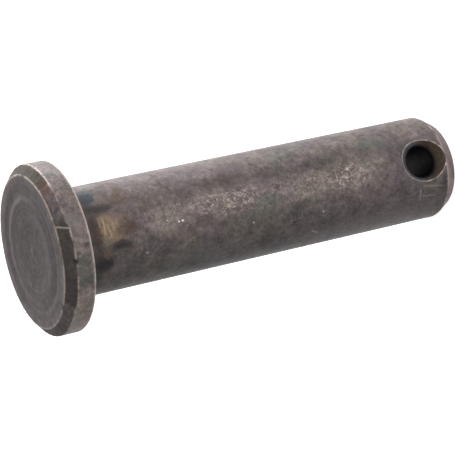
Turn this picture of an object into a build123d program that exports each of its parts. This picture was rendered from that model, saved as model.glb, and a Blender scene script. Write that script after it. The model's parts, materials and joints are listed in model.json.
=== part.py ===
from build123d import *
import os

# Clevis pin, in millimetres: a round steel pin turned from one piece, with a flat disc head,
# a countersunk cross hole for a split pin near its tip, and a chamfered tip.
#
# Frame: +Z runs from the tip to the head, and Z = 0 is the underside of the head, where the pin
# seats. The cross hole runs along Y.

# ---- Driving dimensions ----

# Shank
shank_diameter = 16.0
shank_length = 64.5             # from the underside of the head to the tip
tip_chamfer_width = 1.2         # taken off the radius
tip_chamfer_length = 2.0        # along the shank
under_head_round = 0.5          # fillet where the shank meets the head

# Head
head_diameter = 25.15
head_thickness = 4.3
head_chamfer_width = 1.4        # taken off the radius, all round the front edge
head_chamfer_height = 1.25      # along the rim
head_back_round = 0.3           # softened edge between the rim and the underside

# Deeper stretch of the head's chamfer, where the cutter dug in and left a small step
deep_chamfer_height = 1.5       # along the rim
deep_chamfer_start = -141.0     # degrees round from +X
deep_chamfer_sweep = 56.0       # degrees, counter-clockwise seen from above the head

# Turned face of the head, from its edge inwards: a flat land, a ring groove and a shallow dish
face_groove_diameter = 16.8     # at the middle of the groove
face_groove_width = 1.6
face_groove_depth = 0.2
dish_diameter = 13.8
dish_depth = 0.35
pip_diameter = 1.5              # nib left at the centre of the turned face
pip_height = 0.15

# Cross hole for the split pin
hole_diameter = 4.75
hole_to_tip = 5.8               # from the hole's axis to the tip
countersink_diameter = 7.9      # at the crown of the shank
countersink_angle = 90.0

# ---- Places that follow from them ----

shank_radius = shank_diameter / 2
head_radius = head_diameter / 2
face_radius = head_radius - head_chamfer_width
tip_radius = shank_radius - tip_chamfer_width
tip_height = -shank_length
hole_height = tip_height + hole_to_tip
rim_top = head_thickness - head_chamfer_height

with BuildPart() as clevis_pin:
    # Pin blank: half its long section, turned about the axis
    with BuildSketch(Plane.XZ):
        with BuildLine():
            Polyline(
                (0, head_thickness),
                (face_radius, head_thickness),
                (head_radius, rim_top),
                (head_radius, 0),
                (shank_radius, 0),
                (shank_radius, tip_height + tip_chamfer_length),
                (tip_radius, tip_height),
                (0, tip_height),
                close=True,
            )
        make_face()
    revolve(axis=Axis.Z)

    # Softened corners on both sides of the seat under the head
    seat_edges = clevis_pin.edges().filter_by(GeomType.CIRCLE).filter_by_position(Axis.Z, 0, 0)
    fillet(seat_edges.sort_by(SortBy.RADIUS)[0], radius=under_head_round)
    fillet(seat_edges.sort_by(SortBy.RADIUS)[-1], radius=head_back_round)

    # Deeper stretch of the head's chamfer: the same cut with a steeper slope
    with BuildSketch(Plane.XZ.rotated((0, 0, deep_chamfer_start))):
        with BuildLine():
            Polyline(
                (face_radius, head_thickness),
                (face_radius + 2 * head_chamfer_width, head_thickness),
                (face_radius + 2 * head_chamfer_width, head_thickness - 2 * deep_chamfer_height),
                close=True,
            )
        make_face()
    revolve(axis=Axis.Z, revolution_arc=deep_chamfer_sweep, mode=Mode.SUBTRACT)

    # Ring groove and dish turned into the head's face, leaving the pip at the centre
    groove_inside = (face_groove_diameter - face_groove_width) / 2
    groove_outside = (face_groove_diameter + face_groove_width) / 2
    with BuildSketch(Plane.XZ):
        with BuildLine():
            SagittaArc((groove_inside, head_thickness), (groove_outside, head_thickness), -face_groove_depth)
            Line((groove_inside, head_thickness), (groove_outside, head_thickness))
        make_face()
    revolve(axis=Axis.Z, mode=Mode.SUBTRACT)

    dish_bottom = head_thickness - dish_depth
    with BuildSketch(Plane.XZ):
        with BuildLine():
            TangentArc((0, dish_bottom), (dish_diameter / 2, head_thickness), tangent=(1, 0))
            Polyline((dish_diameter / 2, head_thickness), (0, head_thickness), (0, dish_bottom))
        make_face()
    revolve(axis=Axis.Z, mode=Mode.SUBTRACT)

    with BuildSketch(Plane.XZ):
        with BuildLine():
            TangentArc((0, dish_bottom + pip_height), (pip_diameter / 2, dish_bottom), tangent=(1, 0))
            Polyline((pip_diameter / 2, dish_bottom), (0, dish_bottom), (0, dish_bottom + pip_height))
        make_face()
    revolve(axis=Axis.Z)

    # Cross hole, countersunk where it breaks out on each side of the shank
    hole_mouths = [
        Location((0, side * shank_radius, hole_height), (-side * 90, 0, 0)) for side in (-1, 1)
    ]
    with Locations(*hole_mouths):
        CounterSinkHole(
            radius=hole_diameter / 2,
            counter_sink_radius=countersink_diameter / 2,
            depth=shank_diameter,
            counter_sink_angle=countersink_angle,
        )

clevis_pin.part.label = "clevis_pin"

os.makedirs("parts", exist_ok=True)
export_step(clevis_pin.part, "parts/clevis_pin.step")
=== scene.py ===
import json
import math

import bmesh
import bpy
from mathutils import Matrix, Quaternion, Vector, noise


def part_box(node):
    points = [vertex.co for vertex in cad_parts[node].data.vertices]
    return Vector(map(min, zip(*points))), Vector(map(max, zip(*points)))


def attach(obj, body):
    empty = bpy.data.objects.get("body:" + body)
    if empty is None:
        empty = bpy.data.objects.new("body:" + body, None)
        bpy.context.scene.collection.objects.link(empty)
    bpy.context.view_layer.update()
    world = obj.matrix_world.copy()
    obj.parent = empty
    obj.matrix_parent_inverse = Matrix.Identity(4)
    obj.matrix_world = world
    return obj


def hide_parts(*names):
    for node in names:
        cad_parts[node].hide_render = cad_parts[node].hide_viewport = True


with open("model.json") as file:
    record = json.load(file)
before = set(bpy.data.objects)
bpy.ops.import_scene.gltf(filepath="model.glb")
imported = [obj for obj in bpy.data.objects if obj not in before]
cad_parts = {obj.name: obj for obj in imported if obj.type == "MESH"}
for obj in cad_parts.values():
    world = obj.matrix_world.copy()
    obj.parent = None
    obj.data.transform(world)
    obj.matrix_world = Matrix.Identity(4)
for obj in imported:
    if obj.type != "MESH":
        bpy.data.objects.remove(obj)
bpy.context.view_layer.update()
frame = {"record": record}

# Clevis pin, standing on its tip with the head up. Metres, in the frame of the CAD model: Z = 0 is
# the underside of the head, the cross hole runs along Y, and -Y is the front.

MM = 0.001

# ---- Sizes read from the frame ----
MOUNTS = {mount["name"]: mount for mount in frame["record"]["mounts"]}
LOWEST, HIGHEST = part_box("clevis_pin")
TIP = LOWEST[2]
HEAD_TOP = HIGHEST[2]
HEAD_RADIUS = (HIGHEST[0] - LOWEST[0]) / 2
SHANK_RADIUS = MOUNTS["shank"]["dims"]["r_mm"] * MM
HOLE_RADIUS = MOUNTS["split_pin_hole"]["dims"]["r_mm"] * MM
HOLE_HEIGHT = MOUNTS["split_pin_hole"]["pos_m"][2]
HOLE_WALL = MOUNTS["split_pin_hole"]["dims"]["length_mm"] * MM

# ---- Turned corners ----
TIP_CHAMFER_WIDTH = 1.2 * MM
TIP_CHAMFER_LENGTH = 2.0 * MM
HEAD_CHAMFER_WIDTH = 1.4 * MM
HEAD_CHAMFER_HEIGHT = 1.25 * MM
UNDER_HEAD_ROUND = 0.5 * MM
BACK_ROUND = 0.3 * MM
EDGE_ROUND = 0.12 * MM              # worn corners elsewhere

TIP_RADIUS = SHANK_RADIUS - TIP_CHAMFER_WIDTH
TIP_SHOULDER = TIP + TIP_CHAMFER_LENGTH
FACE_RADIUS = HEAD_RADIUS - HEAD_CHAMFER_WIDTH
RIM_TOP = HEAD_TOP - HEAD_CHAMFER_HEIGHT
HOLE_MOUTH_RADIUS = HOLE_RADIUS + SHANK_RADIUS - HOLE_WALL / 2   # a 90 degree countersink at the crown

# ---- Deeper stretch of the head's chamfer, and the ragged edge below the chamfer ----
DEEP_CHAMFER_HEIGHT = 1.5 * MM
DEEP_STEP = DEEP_CHAMFER_HEIGHT - HEAD_CHAMFER_HEIGHT
DEEP_FROM = -51.0                   # degrees from the front
DEEP_TO = 5.0
DEEP_RUN_IN = 6.0                   # degrees on each side of its start over which it gets deeper
RAGGED_DEPTH = 0.1 * MM             # for each of the two waves
LONG_WAVE = 9
SHORT_WAVE = 30

# ---- Turned face of the head ----
GROOVE_RADIUS = 8.4 * MM
GROOVE_HALF_WIDTH = 0.8 * MM
GROOVE_DEPTH = 0.2 * MM
DISH_RADIUS = 6.9 * MM
DISH_DEPTH = 0.35 * MM
PIP_RADIUS = 0.75 * MM
PIP_HEIGHT = 0.15 * MM

# ---- Dents in the head's rim ----
# Turn (degrees), height, radius, depth, and how much darker each one is made
DENTS = (
    (-19.7, RIM_TOP - 0.1 * MM, 0.75 * MM, 0.3 * MM, 0.8),
    (-10.7, 0.9 * MM, 0.65 * MM, 0.2 * MM, 0.45),
    (-14.7, 2.3 * MM, 0.4 * MM, 0.12 * MM, 0.3),
    (61.0, RIM_TOP - 0.05 * MM, 0.5 * MM, 0.14 * MM, 0.1),
)

# ---- Mesh ----
SIDES = 240                         # steps of the spin
SPACING = 0.4 * MM                  # longest edge along the section
DRILL_SIDES = 96
DRILL_SPACING = 0.5 * MM
DRILL_PAST = 1.5 * MM               # how far the drill reaches beyond the shank
MERGE = 0.001 * MM


def deselect():
    bpy.ops.object.select_all(action="DESELECT")


def edit(piece):
    """Makes one piece active and opens it in edit mode with nothing selected."""
    deselect()
    bpy.context.view_layer.objects.active = piece
    piece.select_set(True)
    bpy.ops.object.mode_set(mode="EDIT")
    bpy.ops.mesh.select_all(action="DESELECT")


def leave_edit():
    bpy.ops.object.mode_set(mode="OBJECT")


def pick(piece, test, kind="verts"):
    """Selects, in edit mode, the points, edges or faces that pass a test, and nothing else."""
    bpy.ops.mesh.select_mode(type={"verts": "VERT", "edges": "EDGE", "faces": "FACE"}[kind])
    bpy.ops.mesh.select_all(action="DESELECT")
    shape = bmesh.from_edit_mesh(piece.data)
    for part in getattr(shape, kind):
        if test(part):
            part.select = True
    shape.select_flush_mode()
    bmesh.update_edit_mesh(piece.data)


def draw_section(name, corners):
    """Draws half a long section, from corner to corner, in the XZ plane; leaves it in edit mode."""
    deselect()
    bpy.ops.mesh.primitive_plane_add(size=MM)
    piece = bpy.context.object
    piece.name = name
    bpy.ops.object.mode_set(mode="EDIT")
    bpy.ops.mesh.select_mode(type="VERT")
    bpy.ops.mesh.merge(type="CENTER")
    here = Vector((0, 0, 0))
    for number, (radius, height) in enumerate(corners):
        step = Vector((radius, 0, height)) - here
        if number == 0:
            bpy.ops.transform.translate(value=step)
        else:
            bpy.ops.mesh.extrude_region_move(TRANSFORM_OT_translate={"value": step})
        here += step
    return piece


def round_corner(piece, radius, height, size, segments=3):
    """Rounds the corner of the section that lies at that radius and height."""
    corner = Vector((radius, 0, height))
    pick(piece, lambda vertex: (vertex.co - corner).length < MERGE)
    bpy.ops.mesh.bevel(affect="VERTICES", offset=size, segments=segments)


def edge_middle(edge):
    return (edge.verts[0].co + edge.verts[1].co) / 2


def divide_section(piece, spacing):
    """Cuts each long edge of the section into even lengths."""
    bpy.ops.mesh.select_mode(type="EDGE")
    shape = bmesh.from_edit_mesh(piece.data)
    middles = [edge_middle(edge) for edge in shape.edges if edge.calc_length() > spacing]
    for middle in middles:
        pick(piece, lambda edge: (edge_middle(edge) - middle).length < MERGE, "edges")
        shape = bmesh.from_edit_mesh(piece.data)
        length = max(edge.calc_length() for edge in shape.edges if edge.select)
        bpy.ops.mesh.subdivide(number_cuts=max(1, math.ceil(length / spacing) - 1))


def spin_section(sides):
    """Spins the section in hand round the Z axis into a closed shape, and leaves edit mode."""
    bpy.ops.mesh.select_all(action="SELECT")
    bpy.ops.mesh.spin(steps=sides, angle=math.tau, center=(0, 0, 0), axis=(0, 0, 1))
    bpy.ops.mesh.select_all(action="SELECT")
    bpy.ops.mesh.remove_doubles(threshold=MERGE)
    bpy.ops.mesh.normals_make_consistent(inside=False)
    leave_edit()


def turn_blank():
    """The pin before drilling: its half-section, with worn corners, spun round Z."""
    pin = draw_section("turned_pin", [
        (0, TIP),
        (TIP_RADIUS, TIP),
        (SHANK_RADIUS, TIP_SHOULDER),
        (SHANK_RADIUS, 0),
        (HEAD_RADIUS, 0),
        (HEAD_RADIUS, RIM_TOP),
        (FACE_RADIUS, HEAD_TOP),
        (0, HEAD_TOP),
    ])
    round_corner(pin, TIP_RADIUS, TIP, EDGE_ROUND)
    round_corner(pin, SHANK_RADIUS, TIP_SHOULDER, EDGE_ROUND)
    round_corner(pin, SHANK_RADIUS, 0, UNDER_HEAD_ROUND, segments=4)
    round_corner(pin, HEAD_RADIUS, 0, BACK_ROUND, segments=4)
    round_corner(pin, HEAD_RADIUS, RIM_TOP, EDGE_ROUND)
    round_corner(pin, FACE_RADIUS, HEAD_TOP, EDGE_ROUND)
    divide_section(pin, SPACING)
    spin_section(SIDES)
    return pin


def off_the_axis(point):
    """How far a point lies from the pin's own axis."""
    return math.hypot(point.x, point.y)


def off_the_hole(point):
    """How far a point lies from the cross hole's axis."""
    return math.hypot(point.x, point.z - HOLE_HEIGHT)


def mouth_radius(point):
    """The radius of the hole, or of its countersink, as far from the pin's middle as that point lies."""
    return HOLE_RADIUS + max(0.0, abs(point.y) - HOLE_WALL / 2)


def refine_round_the_hole(pin):
    """Makes the mesh finer where the cross hole will break out."""
    reach = HOLE_MOUTH_RADIUS + 1.2 * MM
    skin = 1.3 * MM

    def breaks_out(face):
        middle = face.calc_center_median()
        return off_the_hole(middle) < reach and off_the_axis(middle) > SHANK_RADIUS - skin

    edit(pin)
    pick(pin, breaks_out, "faces")
    bpy.ops.mesh.subdivide(number_cuts=1)
    leave_edit()


def drill_cross_hole(pin):
    """Cuts the cross hole with a drill that has a countersink at each end."""
    end = SHANK_RADIUS + DRILL_PAST
    flare = HOLE_MOUTH_RADIUS + DRILL_PAST
    drill = draw_section("drill", [
        (0, -end),
        (flare, -end),
        (HOLE_RADIUS, -HOLE_WALL / 2),
        (HOLE_RADIUS, HOLE_WALL / 2),
        (flare, end),
        (0, end),
    ])
    divide_section(drill, DRILL_SPACING)
    spin_section(DRILL_SIDES)
    deselect()
    drill.select_set(True)
    bpy.ops.transform.rotate(value=math.pi / 2, orient_axis="X", center_override=(0, 0, 0))
    drill.location.z = HOLE_HEIGHT
    cut = pin.modifiers.new("cross_hole", "BOOLEAN")
    cut.operation = "DIFFERENCE"
    cut.solver = "EXACT"
    cut.object = drill
    deselect()
    bpy.context.view_layer.objects.active = pin
    bpy.ops.object.modifier_apply(modifier=cut.name)
    bpy.data.objects.remove(drill)


def soften_hole_mouths(pin):
    """Rounds the sharp edge where each countersink breaks out of the shank."""
    near = 0.16 * MM
    crowded = 0.03 * MM

    def on_the_mouth(vertex):
        out = off_the_axis(vertex.co) > SHANK_RADIUS - near
        return out and abs(off_the_hole(vertex.co) - mouth_radius(vertex.co)) < near

    edit(pin)
    pick(pin, on_the_mouth)
    bpy.ops.mesh.remove_doubles(threshold=crowded)
    pick(pin, on_the_mouth)
    bpy.ops.mesh.vertices_smooth(factor=0.5, repeat=3)
    leave_edit()


def reshape(piece, move):
    """Puts each point of a piece where move(point) says."""
    for vertex in piece.data.vertices:
        vertex.co = move(vertex.co)
    piece.data.update()


def smooth_step(value, low, high):
    """Rises smoothly from 0 at low to 1 at high."""
    share = min(1.0, max(0.0, (value - low) / (high - low)))
    return share * share * (3 - 2 * share)


def turn_degrees(point):
    """The angle round the pin, from the front (-Y) towards +X."""
    return math.degrees(math.atan2(point.x, -point.y))


def face_depth(radius):
    """How deep the turned face of the head lies at a radius: ring groove, dish and centre pip."""
    depth = 0.0
    across = abs(radius - GROOVE_RADIUS) / GROOVE_HALF_WIDTH
    if across < 1:
        depth += GROOVE_DEPTH * (1 - across ** 2)
    if radius < DISH_RADIUS:
        depth += DISH_DEPTH * (1 - (radius / DISH_RADIUS) ** 2)
    if radius < PIP_RADIUS:
        depth -= PIP_HEIGHT * (1 - (radius / PIP_RADIUS) ** 2)
    return depth


def rim_edge_drop(point):
    """How far the lower edge of the head's chamfer lies below its nominal height, at a point's angle."""
    turn = turn_degrees(point)
    deep = DEEP_STEP * smooth_step(turn, DEEP_FROM - DEEP_RUN_IN, DEEP_FROM + DEEP_RUN_IN)
    if turn > DEEP_TO:
        deep = 0.0
    ring = Vector((point.x, point.y, 0)).normalized()
    ragged = RAGGED_DEPTH * (noise.noise(ring * LONG_WAVE) + noise.noise(ring * SHORT_WAVE))
    return deep + ragged


def shape_head(point):
    """Turns the head's face and gives the chamfer its uneven lower edge."""
    radius = off_the_axis(point)
    if point.z > HEAD_TOP - MERGE and radius < FACE_RADIUS:
        return Vector((point.x, point.y, point.z - face_depth(radius)))
    if point.z > BACK_ROUND:
        if point.z >= RIM_TOP:
            share = (HEAD_TOP - point.z) / HEAD_CHAMFER_HEIGHT
        else:
            share = (point.z - BACK_ROUND) / (RIM_TOP - BACK_ROUND)
        return Vector((point.x, point.y, point.z - rim_edge_drop(point) * share))
    return point


def dent_centre(turn, height):
    angle = math.radians(turn)
    return Vector((HEAD_RADIUS * math.sin(angle), -HEAD_RADIUS * math.cos(angle), height))


def dent_rim(pin):
    """Presses small dents into the head's rim, on a finer mesh."""
    margin = 0.3 * MM
    edit(pin)
    for turn, height, size, _, _ in DENTS:
        centre = dent_centre(turn, height)
        pick(pin, lambda face: (face.calc_center_median() - centre).length < size + margin, "faces")
        bpy.ops.mesh.subdivide(number_cuts=2)
    leave_edit()

    def pressed(point):
        for turn, height, size, depth, _ in DENTS:
            away = (point - dent_centre(turn, height)).length
            if away < size:
                share = (1 - (away / size) ** 2) ** 2
                inward = Vector((point.x, point.y, 0)).normalized()
                return point - inward * depth * share
        return point

    reshape(pin, pressed)


def model_pin():
    pin = turn_blank()
    refine_round_the_hole(pin)
    drill_cross_hole(pin)
    soften_hole_mouths(pin)
    reshape(pin, shape_head)
    dent_rim(pin)
    edit(pin)
    bpy.ops.mesh.select_all(action="SELECT")
    bpy.ops.mesh.normals_make_consistent(inside=False)
    leave_edit()
    deselect()
    pin.select_set(True)
    bpy.context.view_layer.objects.active = pin
    bpy.ops.object.shade_smooth()
    return pin


# ---- Finish: colours ----


def paint(red, green, blue):
    """A colour as a shader wants it, from everyday values of 0 to 255."""
    def linear(value):
        share = value / 255
        return share / 12.92 if share <= 0.04045 else ((share + 0.055) / 1.055) ** 2.4
    return (linear(red), linear(green), linear(blue), 1.0)


WARM_GREY = paint(95, 87, 82)
PURPLE_GREY = paint(92, 82, 84)
GREEN_GREY = paint(84, 85, 80)
SOOT_AND_SHADE = paint(34, 31, 33)
# Painted shade: near black for the inside of the cross hole
BORE_SHADE = paint(5, 5, 6)
BLUE_TEMPER = paint(38, 46, 57)
GOLD_BROWN = paint(118, 99, 78)
BROWN = paint(72, 57, 47)
RUST = paint(74, 49, 38)
OLIVE = paint(52, 47, 39)
GREEN_BLACK = paint(62, 58, 55)
# Painted light: the countersink towards the head is lighter than its own grey
CONE_GREY = paint(96, 93, 97)       # the countersink towards the head
CONE_BROWN = paint(60, 47, 39)      # and towards the tip
TAN_SCALE = paint(178, 163, 154)
PINK_SCALE = paint(150, 128, 124)
WORN_STEEL = paint(190, 175, 166)
BARE_GLINT = paint(255, 252, 245)

METAL_SHARE = 0.4                   # oxide is only partly metallic
SPECULAR_LEVEL = 0.3
BUMP_DEPTH = 0.08 * MM

# ---- Finish: patterns ----
# Waves in a millimetre, layers of finer waves, strength of each finer layer, and warp
UNEVEN = (0.55, 6.0, 0.62)
FINE = (2.2, 5.0, 0.6)
DRIFT = (0.16, 3.0, 0.6)
GREEN_CLOUDS = (0.24, 4.0, 0.6, 0.5)
BLOTCHES = (0.42, 5.0, 0.62, 0.3)
MOTTLE = (1.3, 6.0, 0.74)
SPECKS = (3.0, 3.0, 0.6)
SCALE_RIDGES = (0.95, 4.0, 0.66, 0.5)
SCALE_GRAINS = (1.9, 4.0, 0.65)
SCALE_PATCHES = (0.3, 3.0, 0.6)
TOOL_RINGS = (1.7, 4.0, 0.6)
HEAD_GRAIN = (1.4, 6.0, 0.7)
HEAD_PATCHES = (0.7, 4.0, 0.65)
RING_BREAKS = (1.0, 2.0, 0.5)
SCALE_BUMPS = (1.1, 8.0, 0.68)

# ---- Finish: stains, spots, scratches and stretches ----
# Stains on the shank, and one painted shade band: down from the head (mm), turn from the front (degrees),
# half length (mm), half width (degrees), colour, strength
SHANK_STAINS_AND_SHADE = (
    # Painted shade: a long dark band down the whole shank, 24 degrees round from the front
    (30.0, 24, 27.0, 6, GREEN_BLACK, 0.35),
    (3.6, 41, 1.5, 13, BLUE_TEMPER, 1.0),
    (4.6, 21, 2.4, 6, SOOT_AND_SHADE, 0.75),
    (5.0, 0, 2.4, 15, GOLD_BROWN, 0.9),
    (7.6, -4, 1.6, 9, BROWN, 0.8),
    (2.9, -4, 0.7, 20, BROWN, 0.8),
    (8.5, 40, 1.2, 12, BROWN, 0.5),
    (6.0, -20, 1.7, 5, SOOT_AND_SHADE, 0.9),
    (3.6, -25, 1.2, 6, BROWN, 0.6),
    (3.7, -37, 1.3, 8, SOOT_AND_SHADE, 1.0),
    (3.6, -37, 0.9, 5, SOOT_AND_SHADE, 1.0),
    (6.8, 28, 2.6, 7, BROWN, 0.5),
    (4.0, -62, 1.0, 20, BROWN, 0.3),
    (8.3, 48, 0.6, 13, BROWN, 0.5),
    (5.6, 44, 1.0, 9, BROWN, 0.4),
    (7.8, 34, 0.6, 5, BROWN, 0.6),
    (10.8, 11, 0.8, 3, RUST, 0.5),
    (17.2, 14, 1.5, 8, GREEN_BLACK, 0.4),
    (20.4, -13, 1.1, 6, GREEN_BLACK, 0.6),
    (25.0, 27, 3.0, 6, BROWN, 0.4),
    (27.0, 38, 2.0, 8, PURPLE_GREY, 0.7),
    (21.5, 50, 1.6, 8, PURPLE_GREY, 0.6),
    (29.0, -20, 4.5, 5, GREEN_GREY, 0.6),
    (31.0, -8, 2.6, 8, GREEN_GREY, 0.7),
    (36.5, -19, 1.6, 5, GREEN_BLACK, 0.6),
    (46.0, 30, 2.0, 7, GREEN_BLACK, 0.35),
    (51.6, 34, 2.6, 7, GREEN_GREY, 0.8),
    (44.0, 8, 1.3, 5, BROWN, 0.35),
    (57.0, -52, 8.0, 16, PURPLE_GREY, 0.6),
    (48.0, -62, 9.0, 14, PURPLE_GREY, 0.5),
    (20.0, -48, 6.0, 10, GREEN_GREY, 0.4),
    (29.5, -55, 2.0, 6, SOOT_AND_SHADE, 0.35),
)

# Small bare spots, partly painted glints in pure white, in the same terms but for the colour
BARE_SPOTS_AND_GLINTS = (
    (16.3, -8.5, 0.15, 0.9, 1.0),
    (15.7, -8.8, 0.16, 0.7, 0.7),
    (13.9, -5.0, 0.1, 0.7, 0.5),
    (45.0, 8.0, 0.3, 1.8, 0.3),
    (39.7, -32.0, 0.14, 0.9, 0.3),
    (27.7, -27.0, 0.12, 0.8, 0.4),
    (10.2, -34.0, 0.2, 1.0, 0.2),
)

# Scratches: middle (mm down from the head, degrees of turn), length (mm), slant from the pin's axis
# (degrees), half width (mm), strength
SCRATCHES = (
    (57.3, -38, 2.2, 88, 0.12, 0.45),
    (59.8, -31, 4.4, -10, 0.12, 0.3),
    (59.0, -42, 3.2, -8, 0.12, 0.3),
    (38.6, -56, 1.8, -30, 0.10, 0.45),
    (35.0, -34, 2.6, 6, 0.08, 0.35),
    (4.2, 2, 2.6, 84, 0.12, 0.45),
    (4.9, -3, 2.4, 96, 0.10, 0.45),
    (5.6, 1, 1.8, 88, 0.10, 0.35),
    (3.6, 7, 1.6, 92, 0.10, 0.35),
    (6.2, 5, 1.2, 78, 0.10, 0.3),
)

# Stretches of the shank where pale scale lies close: down from the head (mm), turn (degrees), half
# length (mm), half width (degrees)
DENSE_SCALE = (
    (24.0, 2.0, 5.0, 15.0),
    (44.0, -1.0, 4.5, 15.0),
)

# Stretches of the head's chamfer and rim: from and to (degrees of turn), colour, strength
CHAMFER_STRETCHES = (
    (40, 150, OLIVE, 0.9),
    (30, 43, RUST, 0.6),
    (-52, 5, GREEN_BLACK, 0.8),
    (-150, -54, PURPLE_GREY, 0.4),
)
RIM_STRETCHES = (
    (-38, -14, GREEN_GREY, 0.55),
    (-60, -40, TAN_SCALE, 0.2),
    (-6, 10, TAN_SCALE, 0.12),
    (36, 58, GREEN_GREY, 0.4),
    (58, 100, GREEN_BLACK, 0.35),
    (-120, -60, TAN_SCALE, 0.2),
)

# The bright line down the step at the end of the deep stretch: turn (degrees) at a height (mm), and
# how it leans (degrees for each mm)
STEP_TURN = 4.6
STEP_HEIGHT = 3.6
STEP_LEAN = -2.6

# Partly painted highlight and shade: light and dark of the face's grooves, centre pip and outer edge
# Rings on the head's turned face: radius and half width (mm), how far lighter or darker
FACE_RINGS_AND_SHADING = (
    (0.0, 0.5, 0.4),
    (3.6, 1.4, -0.10),
    (5.9, 0.25, 0.12),
    (6.9, 0.35, -0.24),
    (7.75, 0.3, 0.22),
    (8.75, 0.25, 0.1),
    (9.4, 0.25, -0.12),
    (10.6, 0.5, 0.2),
)
RING_WAVER = 0.5                    # mm

# Corners worn bright: radius and height, width (mm), how much of it the oxide breaks, strength
WORN_CORNERS = (
    (FACE_RADIUS, HEAD_TOP, 0.26, 0.40, 0.6),
    (HEAD_RADIUS, RIM_TOP, 0.2, 0.42, 0.5),
    (HEAD_RADIUS, 0.0, 0.5, 0.34, 0.8),
    (SHANK_RADIUS, TIP_SHOULDER, 0.26, 0.42, 0.75),
    (TIP_RADIUS, TIP, 0.26, 0.40, 0.45),
)


class Nodes:
    """Short ways to add shader nodes to one material and to join them."""

    def __init__(self, owner):
        owner.use_nodes = True
        self.tree = owner.node_tree
        self.tree.nodes.clear()

    def set_or_link(self, socket, value):
        if isinstance(value, bpy.types.NodeSocket):
            self.tree.links.new(value, socket)
        else:
            socket.default_value = value

    def add(self, kind, inputs=None, **settings):
        made = self.tree.nodes.new(kind)
        for name, value in settings.items():
            setattr(made, name, value)
        for key, value in (inputs or {}).items():
            self.set_or_link(made.inputs[key], value)
        return made

    def maths(self, operation, *values):
        return self.add("ShaderNodeMath", dict(enumerate(values)), operation=operation).outputs[0]

    def vector_maths(self, operation, inputs, output=0):
        return self.add("ShaderNodeVectorMath", inputs, operation=operation).outputs[output]

    def plus(self, first, second):
        return self.maths("ADD", first, second)

    def minus(self, first, second):
        return self.maths("SUBTRACT", first, second)

    def size(self, value):
        """A value without its sign."""
        return self.maths("ABSOLUTE", value)

    def product(self, first, *others):
        for other in others:
            first = self.maths("MULTIPLY", first, other)
        return first

    def most(self, first, *others):
        for other in others:
            first = self.maths("MAXIMUM", first, other)
        return first

    def length(self, across, along):
        return self.maths("SQRT", self.plus(self.product(across, across), self.product(along, along)))

    def span(self, value, given, wanted):
        """Maps one range of values evenly to another."""
        ends = {"From Min": given[0], "From Max": given[1], "To Min": wanted[0], "To Max": wanted[1]}
        return self.add("ShaderNodeMapRange", {"Value": value, **ends}).outputs["Result"]

    def step(self, value, low, high):
        """Rises smoothly from 0 at low to 1 at high, or falls where low is the larger."""
        ends = {"From Min": low, "From Max": high}
        made = self.add("ShaderNodeMapRange", {"Value": value, **ends}, interpolation_type="SMOOTHSTEP")
        return made.outputs["Result"]

    def between(self, value, low, high, soft):
        """1 between two values, fading to 0 on both sides."""
        rise = self.step(value, low - soft, low + soft)
        fall = self.step(value, high + soft, high - soft)
        return self.product(rise, fall)

    def noise(self, place, scale, detail, roughness, distortion=0.0):
        """One of the patterns, from 0 to 1."""
        inputs = {"Vector": place, "Scale": scale, "Detail": detail, "Roughness": roughness}
        return self.add("ShaderNodeTexNoise", {**inputs, "Distortion": distortion}).outputs["Fac"]

    def mix(self, share, first, second, blend="MIX"):
        made = self.add("ShaderNodeMix", data_type="RGBA", blend_type=blend)
        for socket, value in ((made.inputs[0], share), (made.inputs[6], first), (made.inputs[7], second)):
            self.set_or_link(socket, value)
        return made.outputs[2]

    def coat(self, colour, tint, *shares):
        """Lays a tint over a colour, as thick as the shares multiplied."""
        return self.mix(self.product(*shares), colour, tint)

    def shade(self, colour, lightness):
        """A colour made lighter or darker by a factor."""
        grey = self.add("ShaderNodeCombineColor", {0: lightness, 1: lightness, 2: lightness}).outputs[0]
        return self.mix(1.0, colour, grey, "MULTIPLY")


class Surface:
    """Where a point of the pin lies, for the shader: in millimetres, and in degrees from the front."""

    def __init__(self, n):
        metres = n.add("ShaderNodeTexCoord").outputs["Object"]
        self.place = n.vector_maths("SCALE", {0: metres, "Scale": 1 / MM})
        split = n.add("ShaderNodeSeparateXYZ", {0: self.place})
        self.x, self.y, self.z = split.outputs[0], split.outputs[1], split.outputs[2]
        self.radius = n.length(self.x, self.y)
        self.down = n.product(self.z, -1.0)
        self.turn = n.product(n.maths("ARCTAN2", self.x, n.product(self.y, -1.0)), math.degrees(1))
        self.uneven = n.minus(n.noise(self.place, *UNEVEN), 0.5)
        self.fine = n.minus(n.noise(self.place, *FINE), 0.5)
        self.on_shank = n.step(self.z, 0.0, -0.2)
        deep = n.product(n.between(self.turn, DEEP_FROM, DEEP_TO, 0.5), DEEP_STEP / MM)
        self.from_rim_top = n.plus(n.minus(self.z, RIM_TOP / MM), deep)
        self.find_head_parts(n)

    def find_head_parts(self, n):
        """1 on the head's face, chamfer or rim, and 0 off it."""
        ragged = n.plus(self.from_rim_top, n.product(self.fine, 0.35))
        face_edge = FACE_RADIUS / MM
        rim_edge = HEAD_RADIUS / MM
        near_top = n.step(self.z, HEAD_TOP / MM - 0.8, HEAD_TOP / MM - 0.5)
        self.on_face = n.product(n.step(self.radius, face_edge + 0.075, face_edge - 0.075), near_top)
        past_face = n.step(self.radius, face_edge - 0.025, face_edge + 0.175)
        self.on_chamfer = n.product(past_face, n.step(ragged, -0.15, 0.03))
        far_out = n.step(self.radius, rim_edge - 0.475, rim_edge - 0.175)
        self.on_rim = n.product(far_out, n.step(ragged, 0.03, -0.15))


def spot(n, at, down, turn, half_length, half_width, ragged=1.9):
    """A ragged round spot on the shank: 1 inside, 0 outside."""
    along = n.product(n.minus(at.down, down), 1 / half_length)
    across = n.product(n.minus(at.turn, turn), 1 / half_width)
    away = n.plus(n.length(along, across), n.product(at.uneven, ragged))
    return n.product(n.step(away, 1.5, 0.4), at.on_shank)


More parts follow.
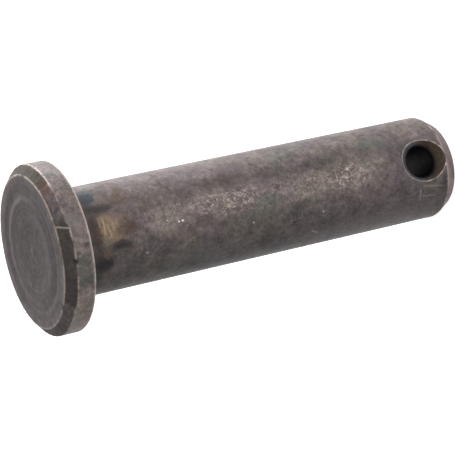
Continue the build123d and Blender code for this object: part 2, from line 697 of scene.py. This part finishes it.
def scratch(n, at, down, turn, length, slant, half_width):
    """A straight fine line on the shank: 1 on it, 0 beside it."""
    along = n.minus(at.down, down)
    across = n.product(n.minus(at.turn, turn), math.radians(1) * SHANK_RADIUS / MM)
    cosine = math.cos(math.radians(slant))
    sine = math.sin(math.radians(slant))
    on = n.size(n.plus(n.product(along, cosine), n.product(across, sine)))
    off = n.size(n.minus(n.product(across, cosine), n.product(along, sine)))
    off = n.plus(off, n.size(n.product(at.fine, 0.9)))
    inside = n.product(n.step(on, length / 2, length / 3), n.step(off, half_width * 2.2, 0.0))
    return n.product(inside, at.on_shank)


def oxide_tones_and_side_shade(n, at):
    """Oxide over turned steel: tones that drift, then mottling and specks; painted shade on the shank's
    -X side.
    """
    colour = n.mix(n.step(n.noise(at.place, *DRIFT), 0.4, 0.6), WARM_GREY, PURPLE_GREY)
    green = n.step(n.noise(at.place, *GREEN_CLOUDS), 0.54, 0.7)
    colour = n.coat(colour, GREEN_GREY, green, 0.7)
    colour = n.shade(colour, n.span(n.noise(at.place, *BLOTCHES), (0.3, 0.7), (0.55, 1.42)))
    colour = n.shade(colour, n.span(n.noise(at.place, *MOTTLE), (0.3, 0.7), (0.5, 1.5)))
    specks = n.step(n.noise(at.place, *SPECKS), 0.6, 0.72)
    colour = n.coat(colour, TAN_SCALE, specks, 0.28)
    # Painted shade: darker along the shank's -X side, away from the key lamp, less so towards the tip
    painted_shade_side = n.span(at.x, (-8.0, -2.0), (0.55, 0.0))
    shade_fading = n.span(at.down, (46.0, 60.0), (1.0, 0.35))
    return n.shade(colour, n.minus(1.0, n.product(painted_shade_side, shade_fading, at.on_shank)))


def scale_flecks(n, at, colour):
    """Pale scale left in a crackle of short lines and grains along the front of the shank."""
    stretched = n.vector_maths("MULTIPLY", {0: at.place, 1: (1.0, 1.0, 0.7)})
    ridge = n.size(n.minus(n.noise(stretched, *SCALE_RIDGES), 0.5))
    lines = n.product(n.step(ridge, 0.045, 0.0), n.step(at.fine, -0.1, 0.06))
    grains = n.step(n.noise(at.place, *SCALE_GRAINS), 0.52, 0.66)
    in_front = n.product(n.step(at.turn, -22.0, -9.0), n.step(at.turn, 19.0, 8.0))
    reach = n.product(n.step(at.down, 8.0, 15.0), n.step(at.down, 55.0, 49.0), at.on_shank)
    patchy = n.step(n.noise(at.place, *SCALE_PATCHES), 0.38, 0.6)
    dense = n.most(*(spot(n, at, *stretch) for stretch in DENSE_SCALE))
    where = n.product(in_front, reach, n.span(n.most(patchy, dense), (0.0, 1.0), (0.25, 1.0)))
    colour = n.coat(colour, TAN_SCALE, where, 0.08)
    colour = n.coat(colour, TAN_SCALE, where, grains, 0.38)
    return n.coat(colour, TAN_SCALE, where, lines, n.span(dense, (0.0, 1.0), (0.4, 1.0)))


def stain_and_shade_shank(n, at, colour):
    """Heat stains, each in its place, and painted shade in the corner under the head."""
    for down, turn, half_length, half_width, tint, strength in SHANK_STAINS_AND_SHADE:
        patch = spot(n, at, down, turn, half_length, half_width)
        grainy = n.shade(tint, n.span(at.fine, (-0.2, 0.2), (0.6, 1.4)))
        colour = n.coat(colour, grainy, patch, strength)
    # Painted shade: darker in the corner under the head
    corner = n.step(n.plus(at.down, n.product(at.uneven, 3.0)), 4.2, 2.2)
    return n.coat(colour, SOOT_AND_SHADE, corner, at.on_shank, 0.6)


def face_rings_and_painted_light(n, at, colour):
    """Tool rings on the head's face, each lighter or darker than the next, partly painted light and
    shade.
    """
    grey = n.shade(PURPLE_GREY, n.span(at.uneven, (-0.2, 0.2), (0.7, 1.3)))
    colour = n.coat(colour, grey, at.on_face, 0.55)
    waver = n.product(at.uneven, RING_WAVER)
    from_middle = n.add("ShaderNodeCombineXYZ", {0: at.radius, 1: waver}).outputs[0]
    tone = n.product(n.minus(n.noise(from_middle, *TOOL_RINGS), 0.5), 1.5)
    bent = n.plus(at.radius, waver)
    for radius, half_width, change in FACE_RINGS_AND_SHADING:
        off = n.size(n.minus(bent, radius))
        tone = n.plus(tone, n.product(n.step(off, half_width * 1.8, 0.0), change))
    # Painted light: the face's back a little lighter than its front. Its edge is lighter than its middle
    tone = n.plus(tone, n.product(at.y, 0.013))
    ringed_and_lit = n.shade(colour, n.plus(tone, n.span(at.radius, (2.0, 9.0), (0.64, 0.82))))
    return n.mix(at.on_face, colour, ringed_and_lit)


def tint_head(n, at, colour):
    """Heat colours and scale on the chamfer and the rim, each along its own stretch."""
    bent = n.plus(at.turn, n.product(at.uneven, 14.0))
    grain = n.span(n.noise(at.place, *HEAD_GRAIN), (0.32, 0.68), (0.55, 1.5))
    colour = n.mix(at.on_chamfer, colour, n.shade(colour, 0.95))
    for start, end, tint, strength in CHAMFER_STRETCHES:
        here = n.between(bent, start, end, 2.0)
        colour = n.coat(colour, n.shade(tint, grain), here, at.on_chamfer, strength)
    pinkish = n.step(n.noise(at.place, *HEAD_PATCHES), 0.5, 0.66)
    colour = n.coat(colour, n.shade(PINK_SCALE, grain), pinkish, at.on_rim, 0.3)
    for start, end, tint, strength in RIM_STRETCHES:
        here = n.between(bent, start, end, 5.0)
        colour = n.coat(colour, n.shade(tint, grain), here, at.on_rim, strength)
    # Brown line along the top of the chamfer, on and beside its deep stretch
    top = n.step(at.z, HEAD_TOP / MM - 0.4, HEAD_TOP / MM - 0.15)
    along = n.between(bent, -50.0, 34.0, 3.0)
    return n.coat(colour, BROWN, top, at.on_chamfer, along, 0.7)


def mark_step(n, at, colour):
    """The bright line down the step where the chamfer's deep stretch ends."""
    lean = n.product(n.minus(at.z, STEP_HEIGHT), STEP_LEAN)
    slanted = n.plus(n.minus(at.turn, STEP_TURN), lean)
    off = n.size(n.plus(slanted, n.product(at.fine, 3.0)))
    return n.coat(colour, WORN_STEEL, n.product(n.step(off, 1.1, 0.1), at.on_chamfer), 0.55)


def darken_dents(n, at, colour):
    """Makes the dents in the rim darker."""
    for turn, height, size, _, darkening in DENTS:
        centre = tuple(value / MM for value in dent_centre(turn, height))
        away = n.vector_maths("DISTANCE", {0: at.place, 1: centre}, "Value")
        away = n.plus(away, n.product(at.fine, 1.4))
        colour = n.coat(colour, SOOT_AND_SHADE, n.step(away, size / MM, size / MM * 0.3), darkening)
    return colour


def corner_line(n, at, radius, height, width, breaks):
    """A worn line along one turned corner, ragged, with breaks where the oxide still holds."""
    out = n.minus(at.radius, radius / MM)
    up = at.from_rim_top if height == RIM_TOP else n.minus(at.z, height / MM)
    away = n.plus(n.length(out, up), n.product(at.fine, 0.5))
    bare = n.step(n.plus(at.uneven, 0.5), breaks - 0.1, breaks + 0.15)
    return n.product(n.step(away, width, width * 0.2), bare)


def wear_edges(n, at, colour):
    """Bright worn corners, and a paler, pinkish chamfer at the tip, partly painted light and shade."""
    for radius, height, width, breaks, strength in WORN_CORNERS:
        colour = n.coat(colour, WORN_STEEL, corner_line(n, at, radius, height, width, breaks), strength)
    on_tip = n.step(at.z, TIP_SHOULDER / MM + 0.1, TIP_SHOULDER / MM - 0.15)
    # Painted light and shade: the tip's pink tint is heavier on the -X side, away from the key lamp
    scale_and_side_light = n.span(at.x, (-4.0, 4.0), (0.8, 0.25))
    return n.coat(colour, PINK_SCALE, on_tip, scale_and_side_light, n.step(at.uneven, -0.35, 0.15))


def darken_hole(n, at, colour):
    """Painted shade in the bore, grey and brown scale on the countersinks, a bright worn ring at each
    mouth.
    """
    above = n.minus(at.z, HOLE_HEIGHT / MM)
    flare = n.maths("MAXIMUM", n.minus(n.size(at.y), HOLE_WALL / 2 / MM), 0.0)
    past_edge = n.minus(n.length(at.x, above), n.plus(flare, HOLE_RADIUS / MM))
    cone = n.mix(n.step(above, 1.0, -1.5), CONE_GREY, CONE_BROWN)
    cone = n.shade(cone, n.span(at.fine, (-0.2, 0.2), (0.7, 1.3)))
    # Painted shade: the countersinks fade to near black over their last 0.7 mm into the bore
    lining_and_shade = n.mix(n.step(flare, 0.7, 0.0), cone, BORE_SHADE)
    colour = n.mix(n.step(past_edge, 0.14, 0.04), colour, lining_and_shade)
    off_ring = n.plus(n.size(past_edge), n.product(at.fine, 0.5))
    off_ring = n.most(off_ring, n.minus(SHANK_RADIUS / MM, at.radius))
    bare = n.span(n.step(n.noise(at.place, *RING_BREAKS), 0.36, 0.6), (0.0, 1.0), (0.25, 0.95))
    return n.coat(colour, WORN_STEEL, n.step(off_ring, 0.14, 0.02), bare)


def oxidised_steel():
    material = bpy.data.materials.new("oxidised_steel")
    n = Nodes(material)
    at = Surface(n)
    colour = oxide_tones_and_side_shade(n, at)
    colour = scale_flecks(n, at, colour)
    colour = stain_and_shade_shank(n, at, colour)
    colour = face_rings_and_painted_light(n, at, colour)
    colour = tint_head(n, at, colour)
    colour = mark_step(n, at, colour)
    colour = darken_dents(n, at, colour)
    for *line, strength in SCRATCHES:
        colour = n.coat(colour, TAN_SCALE, scratch(n, at, *line), strength)
    # Painted glints: small bare spots in pure white
    for *place, strength in BARE_SPOTS_AND_GLINTS:
        colour = n.coat(colour, BARE_GLINT, spot(n, at, *place, ragged=0.4), strength)
    colour = wear_edges(n, at, colour)
    colour = darken_hole(n, at, colour)

    grain = n.noise(at.place, *SCALE_BUMPS)
    roughness = n.plus(n.span(grain, (0.3, 0.7), (0.56, 0.42)), n.product(at.on_chamfer, 0.25))
    bump = n.add("ShaderNodeBump", {"Strength": 0.8, "Distance": BUMP_DEPTH, "Height": grain})
    shader = n.add(
        "ShaderNodeBsdfPrincipled",
        {
            "Base Color": colour,
            "Metallic": METAL_SHARE,
            "Roughness": roughness,
            "Specular IOR Level": SPECULAR_LEVEL,
            "Normal": bump.outputs[0],
        },
    )
    n.add("ShaderNodeOutputMaterial", {"Surface": shader.outputs[0]})
    return material


# ---- Floor, light and camera ----
FLOOR_SIZE = 6.0
FLOOR_COLOUR = (0.82, 0.82, 0.82, 1.0)
WHITE = (1.0, 1.0, 1.0, 1.0)
# How bright the floor and the sky are to the camera, and in the metal's reflections
FLOOR_GLOW = (0.8, 0.5)
SKY_GLOW = (1.0, 0.9)
WORLD_LIGHT = 0.25

# Lamps: name, place, watts
LAMP_SIZE = 0.34
LAMPS = (
    ("key", (0.42, 0.13, 0.06), 4.6),
    ("front", (0.06, -0.42, 0.12), 1.0),
)

CAMERA_AIM = Vector((-2.62, 0.31, -27.08)) * MM
CAMERA_DISTANCE = 284.2 * MM
CAMERA_TURN = math.radians(-6.73)   # round Z, from the front
CAMERA_RISE = math.radians(26.63)
CAMERA_ROLL = math.radians(102.61)  # head to the left
CAMERA_LENS = 150.1
SENSOR_WIDTH = 36.0
CAMERA_NEAR = 0.01


def seen_or_mirrored(n, seen, mirrored):
    """One strength for what the camera sees, another for what metal shows, and 0 for cast light."""
    path = n.add("ShaderNodeLightPath")
    straight = n.product(path.outputs["Is Camera Ray"], seen)
    bounced = n.most(path.outputs["Is Glossy Ray"], path.outputs["Is Transmission Ray"])
    return n.most(straight, n.product(bounced, mirrored))


def lay_floor():
    deselect()
    bpy.ops.mesh.primitive_plane_add(size=FLOOR_SIZE, location=(0, 0, TIP))
    floor = bpy.context.object
    floor.name = "floor"
    material = bpy.data.materials.new("white_floor")
    n = Nodes(material)
    matt = n.add("ShaderNodeBsdfDiffuse", {"Color": FLOOR_COLOUR})
    glow = n.add("ShaderNodeEmission", {"Strength": seen_or_mirrored(n, *FLOOR_GLOW)})
    both = n.add("ShaderNodeAddShader", {0: matt.outputs[0], 1: glow.outputs[0]})
    n.add("ShaderNodeOutputMaterial", {"Surface": both.outputs[0]})
    floor.data.materials.append(material)


def hang_lamp(name, place, aim, power):
    lamp = bpy.data.lights.new(name, "AREA")
    lamp.shape = "DISK"
    lamp.size = LAMP_SIZE
    lamp.energy = power
    holder = bpy.data.objects.new(name, lamp)
    bpy.context.scene.collection.objects.link(holder)
    holder.location = place
    holder.rotation_mode = "QUATERNION"
    holder.rotation_quaternion = (aim - Vector(place)).to_track_quat("-Z", "Y")


def light_studio():
    world = bpy.data.worlds.new("studio")
    bpy.context.scene.world = world
    n = Nodes(world)
    strength = n.most(seen_or_mirrored(n, *SKY_GLOW), WORLD_LIGHT)
    sky = n.add("ShaderNodeBackground", {"Color": WHITE, "Strength": strength})
    n.add("ShaderNodeOutputWorld", {"Surface": sky.outputs[0]})
    middle = Vector((0, 0, TIP / 2))
    for name, place, power in LAMPS:
        hang_lamp(name, place, middle, power)


def place_camera():
    lens = bpy.data.cameras.new("camera")
    lens.lens = CAMERA_LENS
    lens.sensor_width = SENSOR_WIDTH
    lens.clip_start = CAMERA_NEAR
    camera = bpy.data.objects.new("camera", lens)
    bpy.context.scene.collection.objects.link(camera)
    level = math.cos(CAMERA_RISE)
    back = Vector((math.sin(CAMERA_TURN) * level, -math.cos(CAMERA_TURN) * level, math.sin(CAMERA_RISE)))
    camera.location = CAMERA_AIM + back * CAMERA_DISTANCE
    camera.rotation_mode = "QUATERNION"
    camera.rotation_quaternion = (-back).to_track_quat("-Z", "Y") @ Quaternion((0, 0, 1), -CAMERA_ROLL)
    bpy.context.scene.camera = camera


pin = model_pin()
pin.data.materials.append(oxidised_steel())
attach(pin, "root")
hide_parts("clevis_pin")

lay_floor()
light_studio()
place_camera()
bpy.context.scene.view_settings.view_transform = "Standard"
